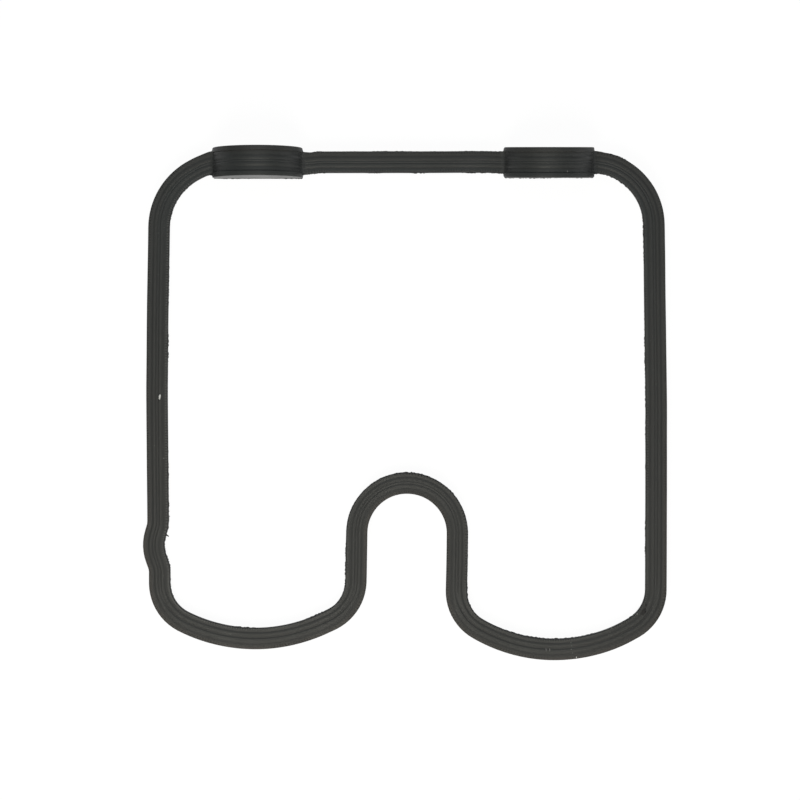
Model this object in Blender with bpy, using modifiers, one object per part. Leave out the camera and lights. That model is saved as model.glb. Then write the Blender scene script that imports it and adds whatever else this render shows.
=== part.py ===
"""Moulded rubber valve cover gasket of a small twin-cam single-cylinder engine.

One piece: a ribbed flange follows the rim of the cylinder head and climbs over two
half-moons on its top run, which fill the open ends of the camshaft bores. A keel runs on
level under it, for the groove of the cover. The gasket lies with its keel down and its
ribbed head side up. Sizes are in millimetres at the top and metres in the scene.
"""

import math

import bmesh
import bpy
from mathutils import Matrix, Vector

MM = 0.001

# Sealing section: a flange with ribs on its head side and a keel under it
FLANGE_WIDTH = 5.3
FLANGE_THICKNESS = 2.4
FLANGE_EDGE = 0.18
KEEL_WIDTH = 2.9
KEEL_DEPTH = 2.9
KEEL_CHAMFER = 0.35
KEEL_BEAD_PROUD = 0.3
KEEL_BEAD_HEIGHT = 1.2
KEEL_BEAD_WIDTH = 1.3
KEEL_ROOT = 1.0
CENTRE_RIB_WIDTH = 0.2
CENTRE_RIB_PROUD = 0.04
CENTRE_GROOVE_WIDTH = 0.42
SIDE_RIB_WIDTH = 0.43
SIDE_RIB_PROUD = 0.14
SIDE_GROOVE_WIDTH = 0.9
GROOVE_DEPTH = 0.12

# Camshaft bores, whose open ends the half-moons fill
CAM_MIDDLE_X = 0.7
CAM_SPACING = 72.75
CAM_BORE_RADIUS = 10.95

# Outline of the section's centre line, seen from the head side. The side limbs lie this
# far outside the camshafts, and each top corner's arc runs on past a half-moon's foot.
LEFT_MARGIN = 24.5
LEFT_FLARE = 0.4
LEFT_BOW = 0.5
LEFT_BOW_Y = 3.0
LEFT_BOW_RADIUS = 200.0
RIGHT_MARGIN = 26.1
RIGHT_FLARE = 0.65
RIGHT_BOW = 0.45
RIGHT_BOW_Y = -2.75
RIGHT_BOW_RADIUS = 300.0
TOP_LEFT_Y = 59.4
TOP_RISE = 0.35
LEFT_CORNER_OVERRUN = 3.8
RIGHT_CORNER_OVERRUN = 1.8

# Lobes beside the notch; their lowest points lie this far outside the camshafts
LOBE_SPREAD = 1.0
RIGHT_LOBE_Y = -67.85
RIGHT_LOBE_RADIUS = 38.35
RIGHT_LOBE_OUTER_Y = -53.8
RIGHT_LOBE_OUTER_RADIUS = 10.95
RIGHT_LOBE_INNER_Y = -53.9
RIGHT_LOBE_INNER_RADIUS = 10.75
LEFT_LOBE_Y = -63.9
LEFT_LOBE_RADIUS = 40.2
LEFT_LOBE_OUTER_Y = -52.25
LEFT_LOBE_OUTER_RADIUS = 10.75
LEFT_LOBE_INNER_Y = -52.05
LEFT_LOBE_INNER_RADIUS = 10.95

# Notch round the spark plug well
WELL_X = 1.6
WELL_TOP_Y = -20.65
WELL_WIDTH = 25.1
WELL_LEAN = 0.6

# Bump on the left limb
BUMP_Y = -36.45
BUMP_OUT = 1.75
BUMP_RADIUS = 9.8
BUMP_HALF_LENGTH = 5.45
BUMP_END_RADIUS = 4.55

# Half-moons
BAND_FILLET = 0.9
LIP_HEIGHT = 0.35
LIP_WIDTH = 1.1
LIP_EDGE = 0.15
CORE_DEPTH = 1.2
PAD_DROP = 0.15
LEFT_MOON_LEAN = 0.1
LEFT_MOON_INSET = 0.25
RIGHT_MOON_LEAN = -4.2
RIGHT_MOON_INSET = 0.2
INSET_RUN = 2.5
MOON_LEAD = 1.4
MOON_STEPS = 20
FILLET_STEPS = 4

# How far an arc of the outline may stray from the true circle, and its shortest step
CHORD_ERROR = 0.07
SHORTEST_STEP = 0.6


def clear_scene():
    for item in list(bpy.data.objects):
        bpy.data.objects.remove(item, do_unlink=True)


def new_collection(name):
    group = bpy.data.collections.new(name)
    bpy.context.scene.collection.children.link(group)
    return group


def rubber():
    material = bpy.data.materials.new("nitrile_rubber")
    material.use_nodes = True
    shader = material.node_tree.nodes["Principled BSDF"]
    shader.inputs["Base Color"].default_value = (0.041, 0.042, 0.038, 1.0)
    shader.inputs["Roughness"].default_value = 0.62
    shader.inputs["Metallic"].default_value = 0.0
    return material


def rib_band():
    """Half of the ribbed head face, from the middle out: (distance from the middle, height)."""
    edge = CENTRE_RIB_WIDTH / 2
    points = [(edge, CENTRE_RIB_PROUD)]
    points.append((edge + CENTRE_GROOVE_WIDTH / 2, -GROOVE_DEPTH))
    edge += CENTRE_GROOVE_WIDTH
    points.append((edge, SIDE_RIB_PROUD))
    edge += SIDE_RIB_WIDTH
    points.append((edge, SIDE_RIB_PROUD))
    points.append((edge + SIDE_GROOVE_WIDTH / 2, -GROOVE_DEPTH))
    points.append((edge + SIDE_GROOVE_WIDTH, 0.0))
    return points


def mirrored(half):
    """A closed section from its right half."""
    return half + [(-across, up) for across, up in reversed(half)]


def flange_section():
    """Section of the ribbed flange, with the head face at height 0."""
    side = FLANGE_WIDTH / 2
    points = rib_band()
    points.append((side - FLANGE_EDGE, 0.0))
    points.append((side, -FLANGE_EDGE))
    points.append((side, FLANGE_EDGE - FLANGE_THICKNESS))
    points.append((side - FLANGE_EDGE, -FLANGE_THICKNESS))
    return mirrored(points)


def keel_section():
    """Section of the keel, from its root inside the flange down to its foot."""
    keel = KEEL_WIDTH / 2
    foot = -FLANGE_THICKNESS - KEEL_DEPTH
    points = [(keel, KEEL_ROOT - FLANGE_THICKNESS)]
    points.append((keel, foot + KEEL_BEAD_HEIGHT + KEEL_BEAD_WIDTH / 2))
    points.append((keel + KEEL_BEAD_PROUD, foot + KEEL_BEAD_HEIGHT))
    points.append((keel, foot + KEEL_CHAMFER))
    points.append((keel - KEEL_CHAMFER, foot))
    return mirrored(points)


def cam_places():
    """How far to the right the left and the right camshaft lie."""
    return CAM_MIDDLE_X - CAM_SPACING / 2, CAM_MIDDLE_X + CAM_SPACING / 2


def limb_places():
    """How far to the right the left and the right limb lie at their top ends."""
    left_cam, right_cam = cam_places()
    return left_cam - LEFT_MARGIN, right_cam + RIGHT_MARGIN


def corner_radii():
    """Radii of the top left and the top right corner."""
    left = LEFT_MARGIN - moon_foot() + LEFT_CORNER_OVERRUN
    right = RIGHT_MARGIN - moon_foot() + RIGHT_CORNER_OVERRUN
    return left, right


def top_y(x):
    """Height of the top run, which rises a little from left to right."""
    left, right = limb_places()
    return TOP_LEFT_Y + TOP_RISE * (x - left) / (right - left)


def moons():
    """The two half-moons, from left to right: (name, x, y, lean in radians)."""
    left, right = cam_places()
    left_y = top_y(left) - LEFT_MOON_INSET
    right_y = top_y(right) - RIGHT_MOON_INSET
    return [
        ("left_moon", left, left_y, math.radians(LEFT_MOON_LEAN)),
        ("right_moon", right, right_y, math.radians(RIGHT_MOON_LEAN)),
    ]


def moon_foot():
    """How far from a half-moon's middle the flange starts to climb."""
    return math.sqrt(CAM_BORE_RADIUS ** 2 + 2 * CAM_BORE_RADIUS * BAND_FILLET)


def moon_climb():
    """Way of the flange over a half-moon, as (along, up), from its left foot to its right."""
    foot = moon_foot()
    start = math.atan2(BAND_FILLET, foot)
    points = []
    for step in range(FILLET_STEPS):
        turn = (math.pi / 2 - start) * step / FILLET_STEPS
        along = -foot + BAND_FILLET * math.sin(turn)
        points.append((along, BAND_FILLET * (1 - math.cos(turn))))
    for step in range(MOON_STEPS + 1):
        angle = math.pi - start - (math.pi - 2 * start) * step / MOON_STEPS
        points.append((CAM_BORE_RADIUS * math.cos(angle), CAM_BORE_RADIUS * math.sin(angle)))
    points += [(-along, up) for along, up in reversed(points[:FILLET_STEPS])]
    return points


def outline_corners():
    """Corners of the outline, clockwise from the top left: (x, y, radius)."""
    left, right = limb_places()
    left_corner, right_corner = corner_radii()
    left_cam, right_cam = cam_places()
    right_bow_x = right + RIGHT_FLARE / 2 + RIGHT_BOW
    left_bow_x = left - LEFT_FLARE / 2 - LEFT_BOW
    well_left = WELL_X - WELL_WIDTH / 2
    well_right = WELL_X + WELL_WIDTH / 2
    return [
        (left, TOP_LEFT_Y, left_corner),
        (right, TOP_LEFT_Y + TOP_RISE, right_corner),
        (right_bow_x, RIGHT_BOW_Y, RIGHT_BOW_RADIUS),
        (right + RIGHT_FLARE, RIGHT_LOBE_OUTER_Y, RIGHT_LOBE_OUTER_RADIUS),
        (right_cam + LOBE_SPREAD, RIGHT_LOBE_Y, RIGHT_LOBE_RADIUS),
        (well_right - WELL_LEAN / 2, RIGHT_LOBE_INNER_Y, RIGHT_LOBE_INNER_RADIUS),
        (well_right + WELL_LEAN / 2, WELL_TOP_Y, WELL_WIDTH / 2),
        (well_left + WELL_LEAN / 2, WELL_TOP_Y, WELL_WIDTH / 2),
        (well_left - WELL_LEAN / 2, LEFT_LOBE_INNER_Y, LEFT_LOBE_INNER_RADIUS),
        (left_cam - LOBE_SPREAD, LEFT_LOBE_Y, LEFT_LOBE_RADIUS),
        (left, LEFT_LOBE_OUTER_Y, LEFT_LOBE_OUTER_RADIUS),
        (left, BUMP_Y - BUMP_HALF_LENGTH, BUMP_END_RADIUS),
        (left - LEFT_FLARE / 2 - BUMP_OUT, BUMP_Y, BUMP_RADIUS),
        (left - LEFT_FLARE, BUMP_Y + BUMP_HALF_LENGTH, BUMP_END_RADIUS),
        (left_bow_x, LEFT_BOW_Y, LEFT_BOW_RADIUS),
    ]


def rounded_outline(corners, chord_error):
    """Points of the closed outline, with each corner replaced by its tangent arc.

    Where two arcs would meet on one side, both are limited by that side's length.
    """
    count = len(corners)
    places = [Vector(corner[:2]) for corner in corners]
    turns = []
    tangents = []
    for index in range(count):
        back = (places[index - 1] - places[index]).normalized()
        ahead = (places[(index + 1) % count] - places[index]).normalized()
        half = back.angle(ahead) / 2
        turns.append((back, ahead, half))
        tangents.append(corners[index][2] / math.tan(half))
    room = []
    for index in range(count):
        side = (places[(index + 1) % count] - places[index]).length
        wanted = tangents[index] + tangents[(index + 1) % count]
        room.append(min(1.0, 0.995 * side / wanted))
    points = []
    for index in range(count):
        back, ahead, half = turns[index]
        reach = tangents[index] * min(room[index - 1], room[index])
        radius = reach * math.tan(half)
        start = places[index] + back * reach
        end = places[index] + ahead * reach
        centre = places[index] + (back + ahead).normalized() * (radius / math.sin(half))
        first = start - centre
        sweep = first.angle_signed(end - centre)
        largest = 2 * math.acos(1 - min(chord_error / radius, 0.5))
        steps = max(2, math.ceil(abs(sweep) / largest))
        for step in range(steps + 1):
            spoke = first.copy()
            spoke.rotate(Matrix.Rotation(-sweep * step / steps, 2))
            points.append(centre + spoke)
    return spaced(points, SHORTEST_STEP)


def spaced(points, shortest):
    """The closed run of points, with neighbours that are closer than this made one."""
    kept = []
    for point in points:
        if kept and (point - kept[-1]).length < shortest:
            kept[-1] = (kept[-1] + point) / 2
        else:
            kept.append(point)
    if (kept[0] - kept[-1]).length < shortest:
        kept[0] = (kept[0] + kept.pop()) / 2
    return kept


def y_on_top_run(outline, x):
    """Height of the outline's upper side at x."""
    for first, second in zip(outline, outline[1:]):
        if first.x <= x < second.x and first.y > 0:
            share = (x - first.x) / (second.x - first.x)
            return first.y + (second.y - first.y) * share
    raise ValueError("the outline doesn't reach as far as a half-moon's run-in")


def level_path(outline):
    """The outline as (x, y, up, tilt), eased inwards to the feet of the half-moons.

    It starts at the top left corner, so its top run goes from left to right. A short
    straight in two steps leads to each foot, so that the flange climbs without a twist.
    """
    path = [(point.x, point.y, 0.0, 0.0) for point in outline]
    foot = moon_foot()
    lead = [foot + MOON_LEAD, foot + MOON_LEAD / 5, foot]
    clear = foot + MOON_LEAD + INSET_RUN
    for name, middle, across, lean in moons():
        near = clear + 2 * SHORTEST_STEP
        path = [p for p in path if p[1] < 0 or abs(p[0] - middle) > near]
        index = next(i for i, p in enumerate(path) if p[0] > middle)
        run = [(middle - clear, y_on_top_run(outline, middle - clear), 0.0, 0.0)]
        run += [(middle - along, across, 0.0, 0.0) for along in lead]
        run += [(middle + along, across, 0.0, 0.0) for along in reversed(lead)]
        run.append((middle + clear, y_on_top_run(outline, middle + clear), 0.0, 0.0))
        path = path[:index] + run + path[index:]
    return path


def climbing_path(path):
    """The level path with each half-moon's run lifted over its rim."""
    for name, middle, across, lean in moons():
        left = [p for p in path if abs(p[0] - middle + moon_foot()) < 0.001][0]
        index = path.index(left)
        arch = []
        for along, up in moon_climb():
            place = across + up * math.sin(lean)
            arch.append((middle + along, place, up * math.cos(lean), -lean))
        path = path[:index] + arch + path[index + 2:]
    return path


def curve_object(name, points, group):
    """A closed curve through points in millimetres, (x, y) or (x, y, up, tilt)."""
    data = bpy.data.curves.new(name, "CURVE")
    data.dimensions = "3D"
    data.twist_mode = "MINIMUM"
    spline = data.splines.new("POLY")
    spline.points.add(len(points) - 1)
    for slot, point in zip(spline.points, points):
        up, tilt = point[2:] if len(point) == 4 else (0.0, 0.0)
        slot.co = (point[0] * MM, point[1] * MM, up * MM, 1.0)
        slot.tilt = tilt
    spline.use_cyclic_u = True
    item = bpy.data.objects.new(name, data)
    group.objects.link(item)
    return item


def as_mesh(item, name, group):
    """The evaluated shape of an object as a welded mesh object, which takes its place."""
    shape = item.evaluated_get(bpy.context.evaluated_depsgraph_get())
    data = bpy.data.meshes.new_from_object(shape)
    data.name = name
    work = bmesh.new()
    work.from_mesh(data)
    bmesh.ops.remove_doubles(work, verts=work.verts, dist=0.000001)
    bmesh.ops.recalc_face_normals(work, faces=work.faces)
    work.to_mesh(data)
    work.free()
    made = bpy.data.objects.new(name + "_solid", data)
    made.matrix_world = item.matrix_world
    group.objects.link(made)
    bpy.data.objects.remove(item, do_unlink=True)
    made.name = name
    return made


def swept(name, path, section, group):
    """A closed section carried round a closed path, at the height of the head face."""
    rail = curve_object(name + "_path", path, group)
    profile = curve_object(name + "_section", section, group)
    rail.data.bevel_mode = "OBJECT"
    rail.data.bevel_object = profile
    bpy.context.view_layer.update()
    made = as_mesh(rail, name, group)
    bpy.data.objects.remove(profile, do_unlink=True)
    made.location = (0.0, 0.0, (KEEL_DEPTH + FLANGE_THICKNESS) * MM)
    return made


def moon_profile():
    """Outline of a half-moon's core and lips, as (radius, distance from its middle plane)."""
    seat = (FLANGE_WIDTH - FLANGE_EDGE) / 2
    outer = FLANGE_WIDTH / 2 + LIP_WIDTH
    lip = CAM_BORE_RADIUS + LIP_HEIGHT
    half = [(CAM_BORE_RADIUS - CORE_DEPTH, seat)]
    half.append((lip - LIP_EDGE, seat))
    half.append((lip, seat + LIP_EDGE))
    half.append((lip, outer - LIP_EDGE))
    half.append((lip - LIP_EDGE, outer))
    half.append((0.0, outer))
    other = [(radius, -across) for radius, across in half]
    return list(reversed(half)) + other


def half_moon(name, centre_x, centre_y, lean, group):
    """Half a disc turned about an axis across the limb, standing on a straight pad.

    A positive lean tips it outwards. The pad is as long as the lips from side to side,
    and fills the bend where the flange starts to climb.
    """
    points = moon_profile()
    data = bpy.data.meshes.new(name)
    work = bmesh.new()
    corners = [work.verts.new((radius * MM, across * MM, 0.0)) for radius, across in points]
    for first, second in zip(corners, corners[1:]):
        work.edges.new((first, second))
    work.to_mesh(data)
    work.free()
    turned = bpy.data.objects.new(name, data)
    group.objects.link(turned)
    screw = turned.modifiers.new("turn", "SCREW")
    screw.axis = "Y"
    screw.angle = -math.pi
    screw.steps = MOON_STEPS
    screw.render_steps = MOON_STEPS
    screw.use_merge_vertices = True
    screw.merge_threshold = 0.000002
    bpy.context.view_layer.update()
    moon = as_mesh(turned, name, group)

    lip = (CAM_BORE_RADIUS + LIP_HEIGHT) * MM
    seat = (FLANGE_WIDTH - FLANGE_EDGE) / 2 * MM
    work = bmesh.new()
    work.from_mesh(moon.data)
    bmesh.ops.rotate(work, verts=work.verts, cent=(0, 0, 0),
                     matrix=Matrix.Rotation(-lean, 3, "X"))
    rim = [edge for edge in work.edges if edge.is_boundary]
    pad = bmesh.ops.extrude_edge_only(work, edges=rim)
    foot = [part for part in pad["geom"] if isinstance(part, bmesh.types.BMVert)]
    dip = GROOVE_DEPTH + moon_profile()[0][1] * abs(math.sin(lean))
    for corner in foot:
        corner.co.z = -dip * MM
        if abs(corner.co.x) > lip / 2 and abs(corner.co.y) < seat * 1.01:
            corner.co.x = math.copysign(lip, corner.co.x)
    rim = [edge for edge in work.edges if edge.is_boundary]
    pad = bmesh.ops.extrude_edge_only(work, edges=rim)
    foot = [part for part in pad["geom"] if isinstance(part, bmesh.types.BMVert)]
    for corner in foot:
        corner.co.z = -(FLANGE_THICKNESS + PAD_DROP) * MM
    loose = [edge for edge in work.edges if edge.is_boundary]
    bmesh.ops.contextual_create(work, geom=loose)
    bmesh.ops.remove_doubles(work, verts=work.verts, dist=0.000001)
    bmesh.ops.recalc_face_normals(work, faces=work.faces)
    work.to_mesh(moon.data)
    work.free()
    head_face = KEEL_DEPTH + FLANGE_THICKNESS
    moon.location = (centre_x * MM, centre_y * MM, head_face * MM)
    return moon


def join(body, tool):
    tool.hide_render = True
    tool.display_type = "WIRE"
    modifier = body.modifiers.new("join_" + tool.name, "BOOLEAN")
    modifier.operation = "UNION"
    modifier.solver = "EXACT"
    modifier.object = tool


def centre_on_origin(body, tools):
    """Moves the joined part so that the middle of its underside is at the origin."""
    bpy.context.view_layer.update()
    shape = body.evaluated_get(bpy.context.evaluated_depsgraph_get())
    corners = [Vector(corner) for corner in shape.bound_box]
    low = Vector([min(corner[axis] for corner in corners) for axis in range(3)])
    high = Vector([max(corner[axis] for corner in corners) for axis in range(3)])
    middle = (low + high) / 2
    shift = Vector((middle.x, middle.y, low.z)) + body.location
    for item in [body] + tools:
        item.location -= shift


def main():
    clear_scene()
    parts = new_collection("valve_cover_gasket")
    tools = new_collection("gasket_tools")
    level = level_path(rounded_outline(outline_corners(), CHORD_ERROR))
    gasket = swept("gasket", climbing_path(level), flange_section(), parts)
    fused = [half_moon(name, x, y, lean, tools) for name, x, y, lean in moons()]
    fused.append(swept("keel", level, keel_section(), tools))
    for tool in fused:
        join(gasket, tool)
    gasket.data.materials.append(rubber())
    gasket.data.shade_smooth()
    gasket.data.set_sharp_from_angle(angle=math.radians(35))
    centre_on_origin(gasket, fused)


main()
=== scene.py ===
import math

import bmesh
import bpy
from mathutils import Matrix, Vector, noise


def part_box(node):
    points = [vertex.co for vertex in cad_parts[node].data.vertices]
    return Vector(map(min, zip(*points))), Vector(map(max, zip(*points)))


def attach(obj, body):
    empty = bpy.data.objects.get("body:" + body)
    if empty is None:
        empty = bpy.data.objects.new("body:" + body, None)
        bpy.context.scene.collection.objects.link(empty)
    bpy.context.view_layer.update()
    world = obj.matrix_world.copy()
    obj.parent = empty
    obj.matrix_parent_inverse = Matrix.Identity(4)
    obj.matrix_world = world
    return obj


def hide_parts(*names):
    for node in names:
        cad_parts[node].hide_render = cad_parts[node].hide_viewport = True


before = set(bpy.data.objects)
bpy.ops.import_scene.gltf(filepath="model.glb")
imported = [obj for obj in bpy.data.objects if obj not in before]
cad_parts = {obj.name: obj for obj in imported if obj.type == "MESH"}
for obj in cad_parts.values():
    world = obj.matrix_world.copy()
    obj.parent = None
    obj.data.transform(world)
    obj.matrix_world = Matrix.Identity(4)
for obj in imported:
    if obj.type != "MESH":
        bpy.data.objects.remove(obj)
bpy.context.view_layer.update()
mm = 0.001
boxLow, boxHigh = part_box("gasket")
print("frame loaded, gasket is", [round(side / mm, 1) for side in boxHigh - boxLow], "mm")


# Small helpers for runs of points

def arcRun(before, corner, after, radius, longest):
    # the arc that rounds one corner of a run, with no step longer than asked
    back = (before - corner).normalized()
    ahead = (after - corner).normalized()
    half = back.angle(ahead) / 2
    reach = radius / math.tan(half)
    centre = corner + (back + ahead).normalized() * (radius / math.sin(half))
    spoke = corner + back * reach - centre
    sweep = spoke.angle_signed(corner + ahead * reach - centre)
    steps = max(2, math.ceil(abs(sweep) * radius / longest))
    points = []
    for step in range(steps + 1):
        turned = spoke.copy()
        turned.rotate(Matrix.Rotation(-sweep * step / steps, 2))
        points.append(centre + turned)
    return points


def softRun(corners, longest):
    # an open run of (x, y, radius) with its inner corners rounded
    places = [Vector(corner[:2]) for corner in corners]
    points = [places[0]]
    for index in range(1, len(corners) - 1):
        radius = corners[index][2]
        if radius:
            points += arcRun(places[index - 1], places[index], places[index + 1], radius, longest)
        else:
            points.append(places[index])
    return points + [places[-1]]


def alongRun(points, count):
    # the open run again, as evenly spaced points
    lengths = [0.0]
    for first, second in zip(points, points[1:]):
        lengths.append(lengths[-1] + (second - first).length)
    spaced = []
    index = 0
    for step in range(count):
        target = lengths[-1] * step / (count - 1)
        while index < len(points) - 2 and lengths[index + 1] < target:
            index += 1
        share = (target - lengths[index]) / (lengths[index + 1] - lengths[index])
        spaced.append(points[index].lerp(points[index + 1], min(max(share, 0.0), 1.0)))
    return spaced


def ease(share):
    # smooth step from 0 to 1
    share = min(max(share, 0.0), 1.0)
    return share * share * (3 - 2 * share)


def ramp(value, zone):
    # 0 up to the start of a zone, and 1 from its length onwards
    start, length = zone
    return ease((value - start) / length)


def drift(point, period, seed):
    # slow wander between -1 and 1, the same on each run
    return noise.noise(Vector((point[0] / period, point[1] / period, seed)))


def addObject(name, data):
    piece = bpy.data.objects.new(name, data)
    bpy.context.scene.collection.objects.link(piece)
    return piece


def addMesh(name, work):
    # the mesh that was worked on, as an object of the scene
    data = bpy.data.meshes.new(name)
    work.to_mesh(data)
    work.free()
    return addObject(name, data)


def loft(name, rings, looped, attributes=None):
    # a closed skin over rings of equally many points in millimetres; open ends are capped
    work = bmesh.new()
    rows = [[work.verts.new(Vector(point) * mm) for point in ring] for ring in rings]
    pairs = list(zip(rows, rows[1:]))
    if looped:
        pairs.append((rows[-1], rows[0]))
    for near, far in pairs:
        for index in range(len(near)):
            after = (index + 1) % len(near)
            work.faces.new((near[index], near[after], far[after], far[index]))
    if not looped:
        work.faces.new(list(reversed(rows[0])))
        work.faces.new(rows[-1])
    work.verts.index_update()
    bmesh.ops.recalc_face_normals(work, faces=work.faces)
    piece = addMesh(name, work)
    for label, values in (attributes or {}).items():
        layer = piece.data.attributes.new(label, "FLOAT", "POINT")
        layer.data.foreach_set("value", values)
    return piece


def finishPiece(piece, material, sharpAngle):
    # material, shading and place on the CAD body
    piece.data.materials.append(material)
    piece.data.shade_smooth()
    piece.data.set_sharp_from_angle(angle=math.radians(sharpAngle))
    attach(piece, "root")


# Course of the section's centre line, in millimetres, clockwise seen from the head side

outline = {
    "camMiddle": 0.7,
    "camSpacing": 72.75,
    "leftMargin": 24.5,  # from a camshaft out to its limb
    "rightMargin": 26.1,
    "overruns": (4.07, 2.07),  # by how much a top corner's arc passes a half-moon's foot
    "topLeftY": 59.4,
    "topRise": 0.35,
    "leftFlare": 0.4,
    "rightFlare": 0.65,
    "leftBow": (0.5, 3.0, 200.0),  # how far out, at which height, radius
    "rightBow": (0.45, -2.75, 300.0),
    "lobeSpread": 1.0,
    "rightLobe": (-67.85, 38.35),  # height of the tangents' corner and radius
    "rightOuter": (-53.8, 10.95),
    "rightInner": (-53.9, 10.75),
    "leftLobe": (-63.9, 40.2),
    "leftOuter": (-52.25, 10.75),
    "leftInner": (-52.05, 10.95),
    "wellX": 1.6,
    "wellTop": -20.65,
    "wellWidth": 25.1,
    "wellLean": 0.6,
    "bump": (1.75, -36.45, 9.8),
    "bumpHalf": 5.45,
    "bumpEnd": 4.55,
    "step": 1.05,
    "arcStep": 0.25,
    "fill": 0.995,  # share of a side that the arcs at its ends may take
    "sway": (0.07, 16.0, 3.1),  # how far the rubber strays sideways, period and seed
    "lift": (0.05, 27.0, 8.7),  # how far it strays off the table
    "liftBias": 0.6,
    "roll": (0.9, 21.0, 5.3),  # degrees that the head face leans to and fro
    "rollShift": 0.3,
}


def camX(o, side):
    return o["camMiddle"] + side * o["camSpacing"] / 2


def limbs(o):
    return camX(o, -1) - o["leftMargin"], camX(o, 1) + o["rightMargin"]


def topY(o, x):
    # height of the top run, which rises a little from left to right
    left, right = limbs(o)
    return o["topLeftY"] + o["topRise"] * (x - left) / (right - left)


def outlineCorners(o, foot):
    # corners of the outline's tangents: (x, y, radius)
    left, right = limbs(o)
    wellLeft = o["wellX"] - o["wellWidth"] / 2
    wellRight = o["wellX"] + o["wellWidth"] / 2
    lean = o["wellLean"] / 2
    bumpOut, bumpY, bumpRadius = o["bump"]
    bowOut, bowY, bowRadius = o["leftBow"]
    swellOut, swellY, swellRadius = o["rightBow"]
    return [
        (left, o["topLeftY"], o["leftMargin"] - foot + o["overruns"][0]),
        (right, o["topLeftY"] + o["topRise"], o["rightMargin"] - foot + o["overruns"][1]),
        (right + o["rightFlare"] / 2 + swellOut, swellY, swellRadius),
        (right + o["rightFlare"], *o["rightOuter"]),
        (camX(o, 1) + o["lobeSpread"], *o["rightLobe"]),
        (wellRight - lean, *o["rightInner"]),
        (wellRight + lean, o["wellTop"], o["wellWidth"] / 2),
        (wellLeft + lean, o["wellTop"], o["wellWidth"] / 2),
        (wellLeft - lean, *o["leftInner"]),
        (camX(o, -1) - o["lobeSpread"], *o["leftLobe"]),
        (left, *o["leftOuter"]),
        (left, bumpY - o["bumpHalf"], o["bumpEnd"]),
        (left - o["leftFlare"] / 2 - bumpOut, bumpY, bumpRadius),
        (left - o["leftFlare"], bumpY + o["bumpHalf"], o["bumpEnd"]),
        (left - o["leftFlare"] / 2 - bowOut, bowY, bowRadius),
    ]


def outlinePoints(o, foot):
    # the closed outline at even steps; arcs that would run into each other are both held back
    corners = outlineCorners(o, foot)
    count = len(corners)
    places = [Vector(corner[:2]) for corner in corners]
    reaches = []
    for index in range(count):
        back = places[index - 1] - places[index]
        ahead = places[(index + 1) % count] - places[index]
        reaches.append(corners[index][2] / math.tan(back.angle(ahead) / 2))
    room = []
    for index in range(count):
        side = (places[(index + 1) % count] - places[index]).length
        room.append(min(1.0, o["fill"] * side / (reaches[index] + reaches[(index + 1) % count])))
    points = []
    for index in range(count):
        radius = corners[index][2] * min(room[index - 1], room[index])
        after = places[(index + 1) % count]
        points += arcRun(places[index - 1], places[index], after, radius, o["arcStep"])
    points.append(points[0].copy())
    length = sum((second - first).length for first, second in zip(points, points[1:]))
    return alongRun(points, round(length / o["step"]) + 1)[:-1]


# Half of the section from the middle of the head face round to the middle of the keel's foot.
# The groups keep their number of points on the half-moons, where they take other shapes.

section = {
    "width": 5.3,
    "thickness": 2.4,
    "edge": 0.3,
    "underEdge": 0.18,
    "centreRib": 0.2,
    "centreProud": 0.04,
    "centreCrown": 1.2,  # height of the middle rib's crest, in its own height
    "centreGroove": 0.42,
    "centreDepth": 0.03,
    "sideRib": 0.43,
    "rib": 0.085,
    "ribCrown": 1.12,
    "sideGroove": 0.9,
    "groove": 0.07,
    "shoulderCrown": 0.012,
    "softness": 0.05,  # step along the profile and unit of its roundings
    "roundings": (1.6, 1.5, 4.0, 2.0),  # middle groove, rib, side groove and its outer end
    "headBand": -0.2,  # points above this height belong to the head face
    "worn": (-44.0, 10.0),  # the middle rib fades out below this y, over this length
    "wornDepth": 0.05,  # depth and half width of the one groove that is left there
    "wornHalf": 0.4,
    "drawn": 0.24,  # how far the ribs lie inwards there and round the well's top
    "drawnFade": (1.7, 0.6),
    "wellArch": (-33.0, 8.0),
    "archReach": 0.6,  # to each side of its middle, in its width
    "keelWidth": 2.9,
    "keelDepth": 2.9,
    "keelRoot": 0.25,
    "keelChamfer": 0.35,
    "keelStep": 0.16,
    "keelRounding": 0.2,
    "bead": (0.3, 1.2, 0.65),  # proud, height over the foot, half its width
    "beadRoot": 0.25,
    "beadFoot": 0.1,
    "sidePoints": 6,
    "lipPoints": 14,
}


def ribRun(s):
    # the ribbed face, from the middle to where the flange's edge begins to round
    soft = s["softness"]
    narrow, crest, broad, brink = [soft * times for times in s["roundings"]]
    middle = s["centreRib"] / 2
    ribStart = middle + s["centreGroove"]
    ribEnd = ribStart + s["sideRib"]
    grooveEnd = ribEnd + s["sideGroove"]
    shoulder = s["width"] / 2 - s["edge"]
    return softRun([
        (0.0, s["centreProud"] * s["centreCrown"], 0.0),
        (middle, s["centreProud"], soft),
        (middle + s["centreGroove"] / 2, -s["centreDepth"], narrow),
        (ribStart, s["rib"], crest),
        (ribStart + s["sideRib"] / 2, s["rib"] * s["ribCrown"], 0.0),
        (ribEnd, s["rib"], crest),
        (ribEnd + s["sideGroove"] / 2, -s["groove"], broad),
        (grooveEnd, 0.0, brink),
        ((grooveEnd + shoulder) / 2, s["shoulderCrown"], 0.0),
        (shoulder, 0.0, 0.0),
    ], soft)


def edgeRun(s):
    # the rounded upper edge of the flange, with as many points as a half-moon's lip
    side = s["width"] / 2
    edge = s["edge"]
    points = []
    for step in range(1, s["lipPoints"] + 1):
        turn = math.pi / 2 * step / s["lipPoints"]
        points.append(Vector((side - edge + edge * math.sin(turn), edge * (math.cos(turn) - 1))))
    return points


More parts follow.
